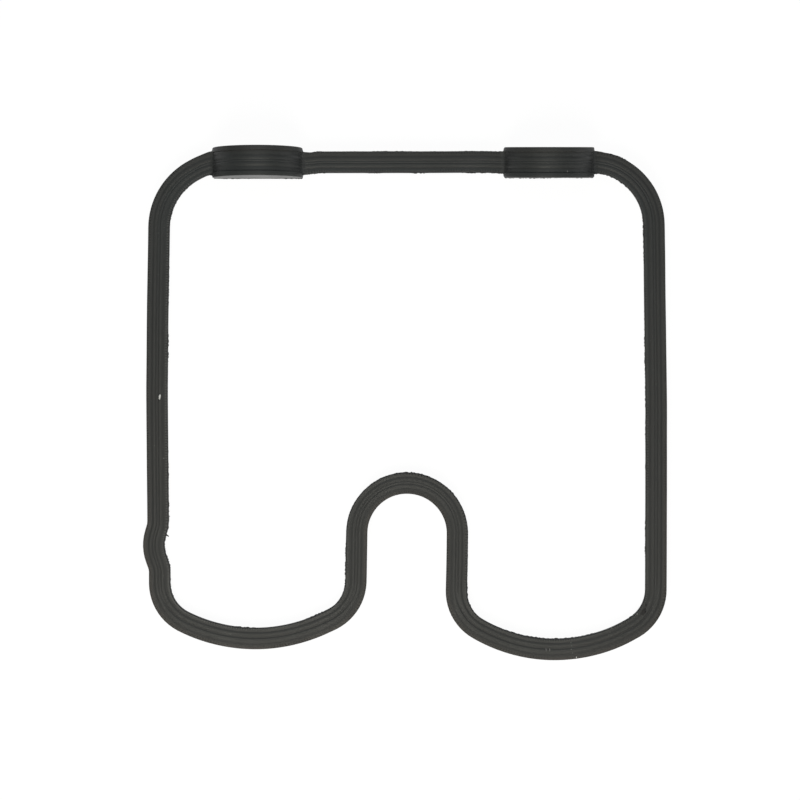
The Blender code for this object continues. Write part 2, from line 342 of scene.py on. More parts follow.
def keelRun(s):
    # the keel, from its root under the flange to the middle of its foot
    half = s["keelWidth"] / 2
    foot = -s["thickness"] - s["keelDepth"]
    proud, beadHeight, beadHalf = s["bead"]
    return softRun([
        (half + s["keelRoot"] * 2, -s["thickness"], 0.0),
        (half, -s["thickness"], s["keelRoot"]),
        (half, foot + beadHeight + beadHalf, s["beadRoot"]),
        (half + proud, foot + beadHeight, s["keelRounding"]),
        (half, foot + s["keelChamfer"] + s["beadFoot"], s["beadFoot"]),
        (half - s["keelChamfer"], foot, s["keelRounding"]),
        (0.0, foot, 0.0),
    ], s["keelStep"])


# Half-moons that fill the ends of the camshaft bores

moon = {
    "radius": 10.95,
    "fillet": 1.2,
    "lip": 0.35,
    "lipWidth": 1.1,
    "lipEdge": 0.22,
    "lipCrown": 0.02,
    "lipFall": 1.2,  # how far the rounding of a lip reaches down, in its radius
    "lipStep": 0.03,
    "seatGap": 0.1,  # how far inside the flange's side the lip's inner wall stands
    "seatRun": 0.06,
    "seatRoundings": (0.05, 0.1),
    "padDrop": 0.15,
    "endFillet": 0.3,  # in plan, where the limb meets the end of the pad
    "endEdge": 0.6,
    "endStep": 0.05,
    "endPoints": 8,
    "swell": {("left", -1): 0.24, ("left", 1): 0.12, ("right", -1): 0.05, ("right", 1): 0.12},
    "swellRun": 1.8,  # length over which the limb widens to each side by the swell at a foot
    "swellEnd": 0.4,  # share of the swell that is added once more at the pad
    "swellSide": (1.9, 0.6),  # the swell grows from this far off the middle, over this width
    "leanRise": 1.5,  # height by which the lean has come in
    "lipGrows": (0.35, 0.65),  # the lip rises from this share of the climb, over this much of it
    "keelGive": 0.4,
    "leastPace": 0.05,
    "footMargin": 0.4,
    "footNear": 1.5,  # how near a foot a point may lie to give its height, in steps
    "footSteps": 12,
    "archSteps": 50,
    "left": (-1, 0.25, 0.1),  # side, inset, lean in degrees
    "right": (1, 0.2, -4.2),
    "blend": 4.0,  # length over which the limb eases to a half-moon's foot
}


def moonPlace(m, side):
    # x and y of the middle and lean of the half-moon on one side
    which, inset, lean = m[side]
    x = camX(outline, which)
    return x, topY(outline, x) - inset, math.radians(lean)


def moonFoot(m):
    return math.sqrt(m["radius"] ** 2 + 2 * m["radius"] * m["fillet"])


def swollen(x, swell):
    # the flange's side moved out by the swell; the ribs stay where they are
    return x + math.copysign(swell * ramp(abs(x), moon["swellSide"]), x)


def lipRun(m, s):
    # profile of a lip over the rim, from the seat of the band to the outer face
    seat = s["width"] / 2 - m["seatGap"]
    outer = s["width"] / 2 + m["lipWidth"]
    edge = m["lipEdge"]
    below, above = m["seatRoundings"]
    run = softRun([
        (seat - m["seatRun"], 0.0, 0.0),
        (seat, 0.0, below),
        (seat, m["lip"], above),
        ((seat + outer) / 2, m["lip"] + m["lipCrown"], 0.0),
        (outer, m["lip"], edge),
        (outer, m["lip"] - edge * m["lipFall"], 0.0),
    ], m["lipStep"])
    return alongRun(run, s["lipPoints"])


def lipSide(m, s, x):
    # half width of the pad at a distance from its middle, with the corners of its ends rounded
    outer = s["width"] / 2 + m["lipWidth"]
    missing = m["endEdge"] - (m["radius"] + m["lip"] - abs(x))
    if missing <= 0:
        return outer
    missing = min(missing, m["endEdge"])
    return outer - m["endEdge"] + math.sqrt(m["endEdge"] ** 2 - missing ** 2)


def endRun(m, s, foot, swell):
    # plan of the side from the limb to the pad's long face: (along, across), left end
    side = s["width"] / 2 + swell
    end = m["radius"] + m["lip"]
    run = softRun([(-foot, side, 0.0), (-end, side + swell * m["swellEnd"], m["endFillet"]),
                   (-end, lipSide(m, s, end), 0.0)], m["endStep"])
    for step in range(1, m["endPoints"] + 1):
        x = end - m["lipEdge"] * m["lipFall"] * (step / m["endPoints"]) ** 2
        run.append(Vector((-x, lipSide(m, s, x))))
    return alongRun(run, m["footSteps"] + 1)


def climbRun(m, foot):
    # left foot of a half-moon: (along, up) on the fillet and the direction out of the rubber
    start = math.atan2(m["fillet"], foot)
    points = []
    for step in range(m["footSteps"] + 1):
        turn = (math.pi / 2 - start) * step / m["footSteps"]
        place = Vector((-foot + m["fillet"] * math.sin(turn), m["fillet"] * (1 - math.cos(turn))))
        points.append((place, Vector((-math.sin(turn), math.cos(turn)))))
    return points


def moonRings(m, s, side, groups):
    # rings of (x, y, z) from the left foot of one half-moon over it to the right foot
    middle, height, lean = moonPlace(m, side)
    foot = moonFoot(m)
    start = math.atan2(m["fillet"], foot)
    lips = lipRun(m, s)
    lipEnd = m["radius"] + lips[-1].y

    def footSteps(end):
        swell = m["swell"][(side, end)]
        plan = endRun(m, s, foot, swell)
        flip = Vector((-end, 1))
        steps = []
        for index, (place, out) in enumerate(climbRun(m, foot)):
            share = index / m["footSteps"]
            top = Vector((plan[index].x, lipEnd * math.sin(start) * ease(share)))
            steps.append((place * flip, out * flip, top * flip, plan[index].y, share,
                          swell * (1 - share)))
        return steps

    steps = footSteps(-1)
    for step in range(1, m["archSteps"]):
        angle = math.pi - start - (math.pi - 2 * start) * step / m["archSteps"]
        out = Vector((math.cos(angle), math.sin(angle)))
        top = out * lipEnd
        steps.append((out * m["radius"], out, top, lipSide(m, s, top.x), 1.0, 0.0))
    steps += reversed(footSteps(1))

    # the underside keeps pace with the side, and moves on where the side stands still
    paces = [m["leastPace"] + max(0.0, b[2].x - a[2].x) for a, b in zip(steps, steps[1:])]
    under = [-foot]
    for pace in paces:
        under.append(under[-1] + 2 * foot * pace / sum(paces))

    rings = []
    for step, keelAlong in zip(steps, under):
        halves = [moonHalf(m, s, groups, lips, *step, keelAlong, sign, lean) for sign in (1, -1)]
        ring = halves[0] + list(reversed(halves[1][1:-1]))
        rings.append([(middle + p[0], height + p[1], p[2]) for p in ring])
    return rings


def underEdge(s, side, bottom):
    # the rounded lower edge: (across, up) at its start, middle and end
    radius = s["underEdge"]
    angles = [math.pi / 2 * turn for turn in (0.0, 0.5, 1.0)]
    return [Vector((side - radius * (1 - math.cos(a)), bottom + radius * (1 - math.sin(a))))
            for a in angles]


def sideRun(s, upper, edge):
    # the flange's side, down from the upper edge and round the lower one
    count = s["sidePoints"]
    return [upper.lerp(edge[0], (index + 1) / count) for index in range(count)] + edge[1:]


def moonHalf(m, s, groups, lips, place, out, top, across, share, swell, keelAlong, sign, lean):
    # one side of one ring: (along, across, up)
    def leaned(along, wide, up):
        tip = ease(up / m["leanRise"])
        turned = wide * sign
        return Vector((along, turned * math.cos(lean * tip) + up * math.sin(lean),
                       up * math.cos(lean) - turned * math.sin(lean) * tip))

    rims, edges, keels = groups
    points = []
    grow = ramp(share, m["lipGrows"])
    for rim in rims:
        spot = place + out * rim.y
        points.append(leaned(spot.x, swollen(rim.x, swell), spot.y))
    for index, (edge, lip) in enumerate(zip(edges, lips)):
        wide = min(swollen(edge.x, swell) * (1 - share) + lip.x * share, across)
        height = edge.y * (1 - grow) + lip.y * grow
        spot = place + out * height
        pull = (index + 1) / len(edges) if share < 1 else 0.0
        if index == len(edges) - 1:
            wide = across
            spot = Vector((top.x, top.y if share > 0 else edge.y))
        elif pull:
            spot = spot.lerp(Vector((top.x, max(top.y, spot.y))), pull * (1 - grow) ** 0.5)
        points.append(leaned(spot.x, wide, spot.y))
    bottom = -s["thickness"] - m["padDrop"] * ease(share * 2)
    turned = [Vector((top.x, sign * spot.x, spot.y)) for spot in underEdge(s, across, bottom)]
    points += sideRun(s, points[-1], turned)
    root = Vector((keelAlong, sign * keels[0].x, keels[0].y))
    for index in (1, 2):
        spot = turned[-1].lerp(root, index / 3)
        spot.z = bottom
        points.append(spot)
    for keel in keels:
        drop = (bottom + s["thickness"]) * ease(1 - (keels[0].y - keel.y) / m["keelGive"])
        points.append(Vector((keelAlong, sign * keel.x, keel.y + drop)))
    return points


def levelHalf(s, groups):
    # one side of the section on a level stretch: (across, up)
    rims, edges, keels = groups
    turned = underEdge(s, s["width"] / 2, -s["thickness"])
    points = rims + edges + sideRun(s, edges[-1], turned)
    points += [turned[-1].lerp(keels[0], index / 3) for index in (1, 2)]
    return points + keels


def wornAt(s, spot):
    # how far the middle rib has gone
    start, length = s["worn"]
    return ease((start - spot.y) / length)


def bodyRings(o, s, m):
    # all rings, how far each has climbed onto a half-moon, and the level section with its groups
    groups = (ribRun(s), edgeRun(s), keelRun(s))
    level = levelHalf(s, groups)
    whole = level + [Vector((-p.x, p.y)) for p in reversed(level[1:-1])]
    foot = moonFoot(m)
    path = outlinePoints(o, foot)
    moons = {side: moonPlace(m, side) for side in ("left", "right")}
    kept = []
    for point in path:
        spot = point.copy()
        onTop = point.y > 0
        ends = [(abs(spot.x - moons[side][0] - end * foot), m["swell"][(side, end)])
                for side, end in m["swell"]]
        nearest, swell = min(ends) if onTop else (math.inf, 0.0)
        calm = ease(nearest / m["blend"])
        swell *= (1 - min(1.0, nearest / m["swellRun"])) ** 2
        inside = onTop and any(abs(spot.x - moons[side][0]) < foot + m["footMargin"]
                               for side in moons)
        kept.append((spot, calm, inside, swell))

    # ease the limb sideways to each foot
    for middle, height, lean in moons.values():
        for end in (-1, 1):
            footX = middle + end * foot
            reach = o["step"] * m["footNear"]
            near = [k for k in kept if k[0].y > 0 and abs(k[0].x - footX) < reach]
            natural = min(near, key=lambda k: abs(k[0].x - footX))[0].y
            shift = height - natural
            for spot, calm, inside, swell in kept:
                away = (spot.x - footX) * end
                if spot.y > 0 and 0 <= away < m["blend"]:
                    spot.y += shift * ease(1 - away / m["blend"])

    rings = []
    climbs = []
    done = set()
    count = len(kept)
    for index, (spot, calm, inside, swell) in enumerate(kept):
        if inside:
            side = min(moons, key=lambda name: abs(spot.x - moons[name][0]))
            if side not in done:
                done.add(side)
                added = moonRings(m, s, side, groups)
                rings += added
                last = len(added) - 1
                climbs += [min(i, last - i) / m["footSteps"] for i in range(len(added))]
            continue
        ahead = (kept[(index + 1) % count][0] - kept[index - 1][0]).normalized()
        out = Vector((-ahead.y, ahead.x))
        sway = o["sway"][0] * drift(spot, *o["sway"][1:]) * calm
        lift = o["lift"][0] * (o["liftBias"] + drift(spot, *o["lift"][1:])) * calm
        roll = math.radians(o["roll"][0]) * drift(spot, *o["roll"][1:]) * calm
        worn = wornAt(s, spot)
        drawn = worn
        if spot.y < 0 and abs(spot.x - o["wellX"]) < o["wellWidth"] * s["archReach"]:
            drawn = max(worn, ramp(spot.y, s["wellArch"]))
        ring = []
        for p in whole:
            onHead = p.y > s["headBand"]
            onFlange = p.y > -s["thickness"] - s["keelRoot"] / 2
            x = swollen(p.x, swell) if onFlange else p.x
            if onHead:
                x -= s["drawn"] * drawn * (1 - ramp(abs(p.x), s["drawnFade"]))
            wide = x * math.cos(roll) - p.y * math.sin(roll) * o["rollShift"] + sway
            up = p.y
            if onHead and abs(p.x) < s["centreRib"] / 2 + s["centreGroove"]:
                dip = (s["rib"] + s["wornDepth"]) * (1 - ease(abs(p.x) / s["wornHalf"]))
                up += worn * (s["rib"] - dip - p.y)
            if p.y > -s["thickness"] - s["keelRoot"] * 2:
                up += p.x * math.sin(roll)
            ring.append((spot.x + out.x * wide, spot.y + out.y * wide, up + max(0.0, lift)))
        rings.append(ring)
        climbs.append(0.0)

    # onto the frame: the middle of the box over the origin and the keel's foot on the table
    lows, highs = [[pick(p[axis] for ring in rings for p in ring) for axis in range(3)]
                   for pick in (min, max)]
    middle = (boxLow + boxHigh) / 2 / mm
    shift = Vector((middle.x - (lows[0] + highs[0]) / 2, middle.y - (lows[1] + highs[1]) / 2,
                    boxLow.z / mm - lows[2]))
    rings = [[Vector(p) + shift for p in ring] for ring in rings]
    return rings, climbs, whole, groups


# Where the tones of the rubber change: a zone is a start and a length, mostly in millimetres

tones = {
    "broadHalf": 0.36,  # half width of the painted shade of a side groove
    "narrowShare": 0.85,
    "leftSide": (20.0, 25.0),  # to the left for the inner edge's painted highlight, downwards for the outer edge's painted warm light, and upwards
    "lowSide": (-10.0, 40.0),
    "highSide": (-5.0, 60.0),
    "calmCorner": (25.0, 20.0),  # painted groove shade and crest highlight are weaker in the top left corner
    "cornerShare": 0.7,
    "calmArch": (-38.0, 12.0),  # and round the well's top
    "archHalf": 18.0,
    "archShare": 0.6,
    "brown": (1.55, 0.9),  # the brown cast grows from here to the outer edge
    "brownLeast": 0.35,
    "underside": 0.6,
    "lineStart": (2.02, 0.16),  # the painted highlight along the inner edge
    "lineEnd": (2.36, 0.14),
    "lineLeast": 0.4,
    "trimmed": (2.4, 0.16),
    "shoulder": (1.85, 0.2),
    "coolEnd": 0.3,  # the cool tone is full up to here across the section
    "coolShare": 0.35,
    "darkComes": (0.05, 0.25),  # the painted shade of a half-moon's steep ends, by how level its rim is
    "darkGoes": (0.5, 0.24),
    "wallRise": 2.5,
    "faceRise": 0.8,  # the smooth inner face starts at this climb and this far up the lip's points
    "facePoints": 3,
}


def grooveShade(x, s, z, worn):
    # share of the painted shade of a groove: 1 on its floor, 0 beside it
    fromRib = abs(x) - s["centreRib"] / 2
    narrow = fromRib / (s["centreGroove"] / 2) - 1
    broad = (fromRib - s["centreGroove"] - s["sideRib"] - s["sideGroove"] / 2) / z["broadHalf"]
    single = x / s["wornHalf"]
    return max(0.0, (1 - narrow * narrow) * z["narrowShare"] * (1 - worn), 1 - broad * broad,
               worn * (1 - single * single))


def bodyMasks(rings, climbs, whole, groups, s, z):
    # the share of each tone at each point, and how far along the loop the point lies
    rimCount = len(groups[0])
    masks = {}
    along = 0.0
    for place, (ring, climb) in enumerate(zip(rings, climbs)):
        spot = ring[0]
        worn = wornAt(s, spot)
        left = ramp(-spot.x, z["leftSide"])
        low = ramp(-spot.y, z["lowSide"])
        high = ramp(spot.y, z["highSide"])
        corner = ramp(spot.y, z["calmCorner"]) * ramp(-spot.x, z["calmCorner"])
        shown = 1 - z["cornerShare"] * corner
        if abs(spot.x) < z["archHalf"] and spot.y < 0:
            shown -= z["archShare"] * ramp(spot.y, z["calmArch"])
        onMoon = min(1.0, climb)
        # painted light on the fillet and the steepest foot of a half-moon's rim, and painted shade
        # a little higher on its steep ends
        steep, wallLight = 0.0, min(1.0, climb * z["wallRise"])
        if climb >= 1:
            rise = (rings[(place + 1) % len(rings)][0] - rings[place - 1][0]).normalized().z
            level = math.sqrt(max(0.0, 1 - rise * rise))
            dark = ramp(level, z["darkComes"])
            steep, wallLight = dark * (1 - ramp(level, z["darkGoes"])), 1 - dark
        along += (spot - rings[place - 1][0]).length if place else 0.0
        for index, p in enumerate(whole):
            order = min(index, len(whole) - index)
            onRim = order < rimCount
            onHead = order < rimCount + s["lipPoints"]
            onSide = order > rimCount + s["lipPoints"] - z["facePoints"]
            across = abs(p.x)
            cast = ramp(across, z["brown"]) if onHead else z["underside"]
            line = ramp(across, z["lineStart"]) * (1 - ramp(across, z["lineEnd"])) * onHead
            rim = ramp(across, z["trimmed"]) if onHead else 1.0
            shares = {
                # painted shade in the grooves
                "groove": grooveShade(p.x, s, z, worn) * shown * onRim,
                # painted highlight on the rib crests
                "crest": min(1.0, max(0.0, p.y / s["rib"])) * shown * onRim,
                # brown tone at the outer edge, growing towards the bottom as painted warm light
                "outerEdge": cast * (z["brownLeast"] + (1 - z["brownLeast"]) * low) * (p.x > 0),
                # painted highlight along the inner edge, stronger to the left
                "innerEdgeHighlight": line * (z["lineLeast"] + (1 - z["lineLeast"]) * left) * (p.x < 0),
                "trimmedEdge": rim * (1 - onMoon) * (p.x < 0),
                "onMoon": onMoon,
                # painted shade on the steep ends of a half-moon
                "steepEndShade": steep * onHead,
                # painted light on the fillet and foot of a half-moon
                "wallLight": wallLight * onHead,
                # painted light and lower roughness on a half-moon's inner face
                "innerFace": float(climb > z["faceRise"] and onSide and p.x < 0),
                "shoulder": ramp(across, z["shoulder"]) if onHead and climb == 0 else 0.0,
                "cool": high * (1.0 if p.x < z["coolEnd"] else z["coolShare"]),
                "along": along,
            }
            for label, share in shares.items():
                masks.setdefault(label, []).append(share)
    return masks


rings, climbs, whole, groups = bodyRings(outline, section, moon)
masks = bodyMasks(rings, climbs, whole, groups, section, tones)
print("gasket has", len(rings), "rings of", len(rings[0]), "points")


# Node groups that the finishes share

def newGroup(name, inputs, outputs):
    group = bpy.data.node_groups.new(name, "ShaderNodeTree")
    for label, kind, value in inputs:
        socket = group.interface.new_socket(name=label, in_out="INPUT", socket_type=kind)
        socket.default_value = value
    for label, kind in outputs:
        group.interface.new_socket(name=label, in_out="OUTPUT", socket_type=kind)
    return group, group.nodes.new("NodeGroupInput"), group.nodes.new("NodeGroupOutput")


def addNode(tree, kind, **values):
    # a node with its inputs set by name, and its own settings by their names in lower case
    node = tree.nodes.new(kind)
    for label, value in values.items():
        if label[0].islower():
            setattr(node, label, value)
        else:
            node.inputs[label.replace("_", " ")].default_value = value
    return node


def remap(tree, source, fromLow, fromHigh, toLow=0.0, toHigh=1.0):
    node = addNode(tree, "ShaderNodeMapRange", From_Min=fromLow, From_Max=fromHigh,
                   To_Min=toLow, To_Max=toHigh)
    tree.links.new(source, node.inputs["Value"])
    return node.outputs["Result"]


def feed(tree, socket, value):
    # a number or a colour, or else a link from an output
    if isinstance(value, (int, float)):
        socket.default_value = value
    elif isinstance(value, tuple):
        socket.default_value = (*value, 1.0)
    else:
        tree.links.new(value, socket)


def combine(tree, operation, first, second):
    node = addNode(tree, "ShaderNodeMath", operation=operation)
    for socket, value in zip(node.inputs, (first, second)):
        feed(tree, socket, value)
    return node.outputs["Value"]


def blendColours(tree, share, first, second):
    node = addNode(tree, "ShaderNodeMix", data_type="RGBA")
    for name, value in (("Factor_Float", share), ("A_Color", first), ("B_Color", second)):
        feed(tree, next(i for i in node.inputs if i.identifier == name), value)
    return next(o for o in node.outputs if o.identifier == "Result_Color")


def layTextures(tree, *textures):
    # the textures follow the object's own coordinates
    place = tree.nodes.new("ShaderNodeTexCoord").outputs["Object"]
    for node in textures:
        tree.links.new(place, node.inputs["Vector"])


def buildMouldGrain():
    # the fine, uneven skin that the mould leaves: a height, and a mottle that varies slowly
    group, given, made = newGroup(
        "mouldGrain",
        [("Grain Scale", "NodeSocketFloat", 2600.0), ("Mottle Scale", "NodeSocketFloat", 90.0)],
        [("Height", "NodeSocketFloat"), ("Mottle", "NodeSocketFloat")])
    fine = addNode(group, "ShaderNodeTexNoise", Detail=3.0, Roughness=0.65)
    pits = addNode(group, "ShaderNodeTexVoronoi", feature="SMOOTH_F1", Smoothness=0.4)
    slow = addNode(group, "ShaderNodeTexNoise", Detail=4.0, Roughness=0.55, Distortion=0.4)
    layTextures(group, fine, pits, slow)
    group.links.new(given.outputs["Grain Scale"], fine.inputs["Scale"])
    coarser, pitShare = 0.45, 0.5
    group.links.new(combine(group, "MULTIPLY", given.outputs["Grain Scale"], coarser),
                    pits.inputs["Scale"])
    group.links.new(given.outputs["Mottle Scale"], slow.inputs["Scale"])
    pitted = remap(group, pits.outputs["Distance"], 0.0, 0.35, 0.0, pitShare)
    height = combine(group, "ADD", fine.outputs["Fac"], pitted)
    group.links.new(height, made.inputs["Height"])
    group.links.new(remap(group, slow.outputs["Fac"], 0.3, 0.7), made.inputs["Mottle"])
    return group


def buildHandledDust():
    # sparse pale lint and dust that rubber picks up, as a mask
    group, given, made = newGroup(
        "handledDust",
        [("Fleck Scale", "NodeSocketFloat", 900.0), ("Amount", "NodeSocketFloat", 0.5)],
        [("Mask", "NodeSocketFloat")])
    cells = addNode(group, "ShaderNodeTexVoronoi", feature="F1", Randomness=1.0)
    patch = addNode(group, "ShaderNodeTexNoise", Scale=220.0, Detail=2.0)
    layTextures(group, cells, patch)
    group.links.new(given.outputs["Fleck Scale"], cells.inputs["Scale"])
    dots = remap(group, cells.outputs["Distance"], 0.05, 0.22, 1.0, 0.0)
    chosen = remap(group, patch.outputs["Fac"], 0.56, 0.66)
    flecks = combine(group, "MULTIPLY", dots, chosen)
    group.links.new(combine(group, "MULTIPLY", flecks, given.outputs["Amount"]),
                    made.inputs["Mask"])
    return group


mouldGrain = buildMouldGrain()
handledDust = buildHandledDust()


# The finishes

rubberFinish = {
    "base": (0.0280, 0.0290, 0.0276),
    "mottled": (0.0335, 0.0345, 0.0325),
    "cool": (0.0252, 0.0290, 0.0290),  # the inner half near the half-moons
    "onMoon": (0.0265, 0.0292, 0.0288),  # bluer and darker
    # painted highlight on the rib crests
    "crest": (0.0315, 0.0325, 0.0305),
    # painted shade on the floors of the grooves
    "groove": (0.0215, 0.0224, 0.0214),
    "outerEdge": (0.0365, 0.0325, 0.0285),  # brown, lighter tone at the outer edge, its growth towards the bottom painted warm light from the front
    # painted shade on the steep ends of a half-moon
    "steepEndShade": (0.0190, 0.0207, 0.0203),
    "wallLight": (0.0480, 0.0500, 0.0490),  # painted light on the fillet and foot of a half-moon, lifting their shade
    # painted light on the inner face of a half-moon, lit from the front
    "innerFace": (0.0380, 0.0388, 0.0380),
    "innerEdgeHighlight": (0.0800, 0.0810, 0.0780),
    "trimmedEdge": (0.0120, 0.0122, 0.0118),
    "ticks": (0.0095, 0.0100, 0.0094),
    "dust": (0.10, 0.10, 0.095),
    "layers": {"cool": 0.7, "onMoon": 0.8, "crest": 0.45, "groove": 0.9, "outerEdge": 0.75,
               "steepEndShade": 0.8, "wallLight": 1.0, "innerFace": 1.0},  # shares, in their order
    "lineShare": 0.6,  # of the painted highlight on the inner edge
    "trimmedShare": 0.8,
    "tickShare": 0.85,
    "tickPeriod": 0.66,  # millimetres between the cross marks on the shoulders
    "tickPatches": (70.0, 0.40, 0.52),  # scale of the patches that have them, and threshold
    "dustAmount": 0.35,
    "faceSheen": 0.24,  # share of the roughness that the smooth inner face loses
    "roughness": (0.48, 0.62),
    "specular": 0.30,
    "grainDepth": 0.00006,
    "sharpAngle": 38,
}


def startMaterial(name, **grainValues):
    # a new material with its shader and its mould grain
    material = bpy.data.materials.new(name)
    material.use_nodes = True
    tree = material.node_tree
    grain = addNode(tree, "ShaderNodeGroup", node_tree=mouldGrain, **grainValues)
    return material, tree, tree.nodes["Principled BSDF"], grain


def addSkin(tree, shader, grain, colour, rough, f):
    # colour, roughness, gloss and fine relief
    tree.links.new(colour, shader.inputs["Base Color"])
    tree.links.new(rough, shader.inputs["Roughness"])
    shader.inputs["Specular IOR Level"].default_value = f["specular"]
    bump = addNode(tree, "ShaderNodeBump", Strength=0.5, Distance=f["grainDepth"])
    tree.links.new(grain.outputs["Height"], bump.inputs["Height"])
    tree.links.new(bump.outputs["Normal"], shader.inputs["Normal"])


def mask(tree, name, share=1.0):
    found = addNode(tree, "ShaderNodeAttribute", attribute_name=name).outputs["Fac"]
    return combine(tree, "MULTIPLY", found, share)


def makeMouldedRubber(f):
    material, tree, shader, grain = startMaterial("mouldedRubber")
    dust = addNode(tree, "ShaderNodeGroup", node_tree=handledDust, Amount=f["dustAmount"])
    colour = blendColours(tree, grain.outputs["Mottle"], f["base"], f["mottled"])
    # layers over the base: the rubber's own tones, painted highlight on the crests, painted shade
    # in the grooves and on steep ends, a brown edge tone that is partly painted warm light, and
    # painted light on the fillets and inner faces
    for label, share in f["layers"].items():
        colour = blendColours(tree, mask(tree, label, share), colour, f[label])
    # painted highlight along the inner edge, off the half-moons
    level = combine(tree, "SUBTRACT", 1.0, mask(tree, "onMoon"))
    lit = combine(tree, "MULTIPLY", mask(tree, "innerEdgeHighlight", f["lineShare"]), level)
    colour = blendColours(tree, lit, colour, f["innerEdgeHighlight"])
    colour = blendColours(tree, mask(tree, "trimmedEdge", f["trimmedShare"]), colour,
                          f["trimmedEdge"])

    # cross marks on the shoulders, in patches
    wave = combine(tree, "SINE", mask(tree, "along", math.tau / f["tickPeriod"]), 0.0)
    scale, least, most = f["tickPatches"]
    patches = addNode(tree, "ShaderNodeTexNoise", Scale=scale, Detail=2.0)
    layTextures(tree, patches)
    ticks = combine(tree, "MULTIPLY", remap(tree, wave, 0.1, 0.8),
                    remap(tree, patches.outputs["Fac"], least, most))
    ticks = combine(tree, "MULTIPLY", ticks, mask(tree, "shoulder", f["tickShare"]))
    colour = blendColours(tree, ticks, colour, f["ticks"])
    colour = blendColours(tree, dust.outputs["Mask"], colour, f["dust"])
    rough = remap(tree, grain.outputs["Mottle"], 0.0, 1.0, *f["roughness"])
    kept = combine(tree, "SUBTRACT", 1.0, mask(tree, "innerFace", f["faceSheen"]))
    addSkin(tree, shader, grain, colour, combine(tree, "MULTIPLY", rough, kept), f)
    return material


trimFinish = {
    "thin": (0.008, 0.008, 0.008),
    "torn": (0.032, 0.032, 0.030),
    "roughness": (0.62, 0.85),
    "specular": 0.3,
    "grainDepth": 0.00004,
}


def makeTrimmedRubber(f):
    material, tree, shader, grain = startMaterial("trimmedRubber", Grain_Scale=3600.0,
                                                  Mottle_Scale=520.0)
    colour = blendColours(tree, grain.outputs["Mottle"], f["thin"], f["torn"])
    rough = remap(tree, grain.outputs["Mottle"], 0.0, 1.0, *f["roughness"])
    addSkin(tree, shader, grain, colour, rough, f)
    return material


def makeLint(name, dark, light):
    material, tree, shader, grain = startMaterial(name, Mottle_Scale=1500.0)
    tree.links.new(blendColours(tree, grain.outputs["Mottle"], dark, light),
                   shader.inputs["Base Color"])
    shader.inputs["Roughness"].default_value = 0.9
    return material


mouldedRubber = makeMouldedRubber(rubberFinish)
trimmedRubber = makeTrimmedRubber(trimFinish)
paleLint = makeLint("paleLint", (0.42, 0.42, 0.40), (0.7, 0.7, 0.68))
dullLint = makeLint("dullLint", (0.10, 0.10, 0.095), (0.22, 0.22, 0.21))
print("finishes made")

gasketBody = loft("gasketBody", rings, True, masks)
finishPiece(gasketBody, mouldedRubber, rubberFinish["sharpAngle"])
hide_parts("gasket")
print("gasket body lofted")


# Flash: the thin ragged skin left along the mould's parting line and only roughly trimmed

flash = {
    "thickness": 0.07,
    "tip": 0.3,  # share of the thickness that is left at the torn edge
    "sunk": 0.08,
    "least": 0.02,
    "most": 0.24,
    "topMost": 0.2,
    "pieceLength": 0.22,  # length of one step along the edge
    "ragged": 0.55,  # period of the torn edge
    "finer": (3, 0.5),  # a second tear is this much finer, and its share
    "tear": 1.5,
    "patch": 7.0,  # period over which more or less was trimmed
    "patchLeast": 0.2,
    "patchBias": (0.45, 1.6),
    "droop": (0.35, 0.5, 2.3),  # share of the width, bias and period
    "taper": 6,  # steps over which an open run narrows at its ends
    "innerDrop": 0.9,  # how far below the head face the inner flash grows
    "outerDrop": 0.6,
    "topRun": (-0.3, 60.0),  # from the left half-moon's right foot, to this x
    "topLevel": 60.0,  # and above this y
    "innerSeed": 2.5,
    "topSeed": 6.1,
    "sharpAngle": 50,
}


def flashFin(name, roots, outs, f, looped, most, seed):
    # a wedge along the run of roots, pointing outwards by a ragged width
    rings = []
    fineness, fineShare = f["finer"]
    bias, gain = f["patchBias"]
    sag, sagBias, sagPeriod = f["droop"]
    for index, (root, out) in enumerate(zip(roots, outs)):
        torn = abs(drift(root, f["ragged"], seed))
        torn += fineShare * abs(drift(root, f["ragged"] / fineness, seed + 4))
        left = ease(bias + gain * drift(root, f["patch"], seed + 9))
        left = f["patchLeast"] + (1 - f["patchLeast"]) * left
        width = f["least"] + (most - f["least"]) * min(1.0, torn * f["tear"]) * left
        if not looped:
            width *= ease(min(index, len(roots) - 1 - index) / f["taper"])
        droop = Vector((0, 0, -sag * width * (sagBias + drift(root, sagPeriod, seed + 2))))
        inside = root - out * f["sunk"]
        tip = root + out * width + droop
        up = Vector((0, 0, f["thickness"] / 2))
        rings.append([inside + up, root + up, tip + up * f["tip"], tip - up * f["tip"], root - up,
                      inside - up])
    return loft(name, rings, looped)


def finRun(rings, drop, sign, f, keep=None):
    # roots and outward directions along one side of the section, at one level and at fine steps
    upper = len(groups[0]) + len(groups[1]) - 1
    lower = upper + section["sidePoints"]
    middle = len(groups[0]) - 1
    level = section["thickness"] + section["keelDepth"] - drop
    spots = []
    for ring in rings:
        high, low, across = [ring[sign * index] for index in (upper, lower, middle)]
        root = high.lerp(low, min(max((high.z - level) / (high.z - low.z), 0.0), 1.0))
        out = root - across
        out.z = 0
        if keep is None or keep(root):
            spots.append((root, out.normalized()))
    roots = []
    outs = []
    pairs = list(zip(spots, spots[1:] + (spots[:1] if keep is None else [])))
    for (root, out), (nextRoot, nextOut) in pairs:
        steps = max(1, round((nextRoot - root).length / f["pieceLength"]))
        for step in range(steps):
            roots.append(root.lerp(nextRoot, step / steps))
            outs.append(out.lerp(nextOut, step / steps).normalized())
    return roots, outs


